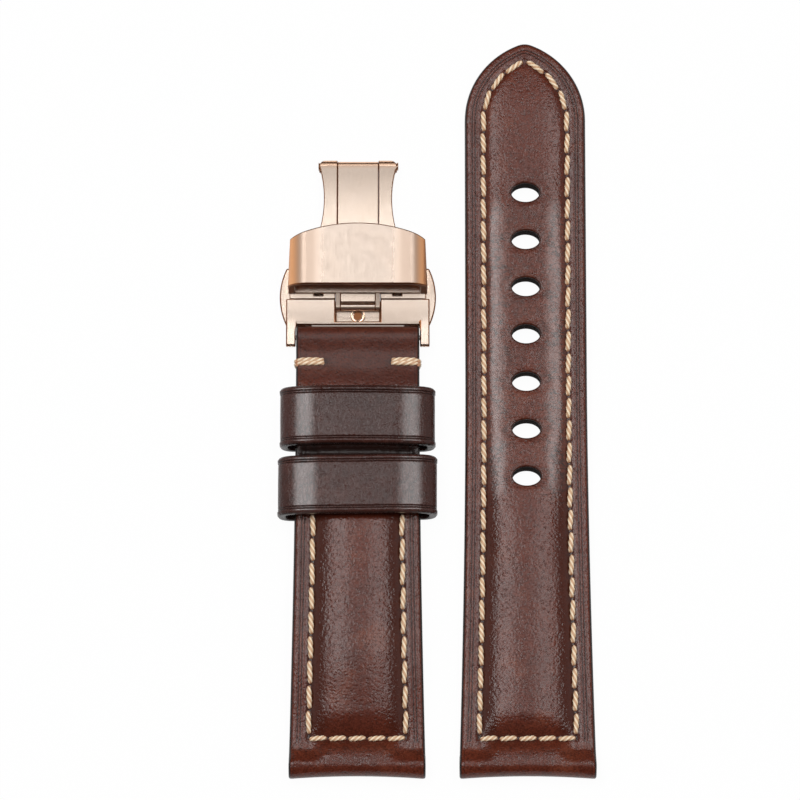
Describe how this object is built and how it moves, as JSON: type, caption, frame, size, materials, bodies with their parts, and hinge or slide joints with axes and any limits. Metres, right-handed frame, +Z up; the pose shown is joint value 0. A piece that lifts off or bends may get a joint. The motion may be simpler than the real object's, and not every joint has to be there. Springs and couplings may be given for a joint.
{
  "type": "leather watch strap",
  "caption": "Padded leather watch strap in two halves, with edge stitching, sliding and fixed keepers and a folding push-button clasp.",
  "frame": {"origin": "bottom centre of the bounding box: on the surface that the pair lies on, midway between the outer sides of the two halves", "axes": "+X across the straps from the short half to the long half, +Y along them from the watch case's end toward the tip, +Z up, out of the leather's outer face"},
  "size_m": [0.0511, 0.122, 0.0104],
  "materials": {
    "strap_leather": "brown pull-up leather, semi-gloss, with dark painted edges",
    "lining_leather": "smooth matt lining leather",
    "keeper_leather": "dark brown leather, semi-gloss, creased along its edges",
    "padding": "pressed felt, hidden between the leathers",
    "thread": "twisted waxed thread, cream",
    "rose_gold": "polished rose gold plating on stainless steel",
    "bar_steel": "plain stainless steel"
  },
  "bodies": {
    "short_half": {"short_top_leather": "strap_leather", "short_filler": "padding", "short_lining": "lining_leather", "short_edge_stitches": "thread", "short_bar_tacks": "thread", "fixed_keeper": "keeper_leather", "clasp_bar_tube": "bar_steel", "clasp_bar_pins": "bar_steel", "clasp_bar_spring": "bar_steel"},
    "keeper_ring": {"floating_keeper": "keeper_leather"},
    "clasp_base": {"clasp_frame": "rose_gold", "base_blade": "rose_gold", "frame_rivet": "rose_gold", "far_hinge_pin": "rose_gold", "left_button_spring": "bar_steel", "right_button_spring": "bar_steel"},
    "left_push": {"left_button": "rose_gold"},
    "right_push": {"right_button": "rose_gold"},
    "tongue": {"tongue_blade": "rose_gold"},
    "cover": {"near_hinge_pin": "rose_gold", "cover_floor": "rose_gold", "cover_bridge": "rose_gold", "cover_catches": "rose_gold", "strap_stud": "rose_gold"},
    "long_half": {"long_top_leather": "strap_leather", "long_filler": "padding", "long_lining": "lining_leather", "long_edge_stitches": "thread"}
  },
  "joints": [
    {"name": "clasp_swing", "type": "hinge", "parent": "short_half", "child": "clasp_base", "pos_m": [-0.01275, 0.01145, 0.0022], "axis": [1, 0, 0], "range_deg": [-45, 75]},
    {"name": "blade_fold", "type": "hinge", "parent": "clasp_base", "child": "tongue", "pos_m": [-0.01275, 0.0404, 0.0015], "axis": [-1, 0, 0], "range_deg": [0, 165]},
    {"name": "cover_fold", "type": "hinge", "parent": "tongue", "child": "cover", "pos_m": [-0.01275, 0.0165, 0.00292], "axis": [-1, 0, 0], "range_deg": [-170, 5]},
    {"name": "left_push_in", "type": "slide", "parent": "clasp_base", "child": "left_push", "axis": [1, 0, 0], "range_m": [0, 0.0007], "stiffness_N_per_m": 400, "springref_m": -0.002, "deforming": ["left_button_spring"]},
    {"name": "right_push_in", "type": "slide", "parent": "clasp_base", "child": "right_push", "axis": [-1, 0, 0], "range_m": [0, 0.0007], "stiffness_N_per_m": 400, "springref_m": -0.002, "deforming": ["right_button_spring"]},
    {"name": "keeper_slide", "type": "slide", "parent": "short_half", "child": "keeper_ring", "axis": [0, 1, 0], "range_m": [-0.021, 0.0015]},
    {"name": "long_half_lift", "type": "slide", "parent": "short_half", "child": "long_half", "axis": [0, 0, 1], "range_m": [0, 0.03]}
  ],
  "couplings": [
    {"joint": "cover_fold", "follows": "blade_fold", "ratio": -1}
  ]
}
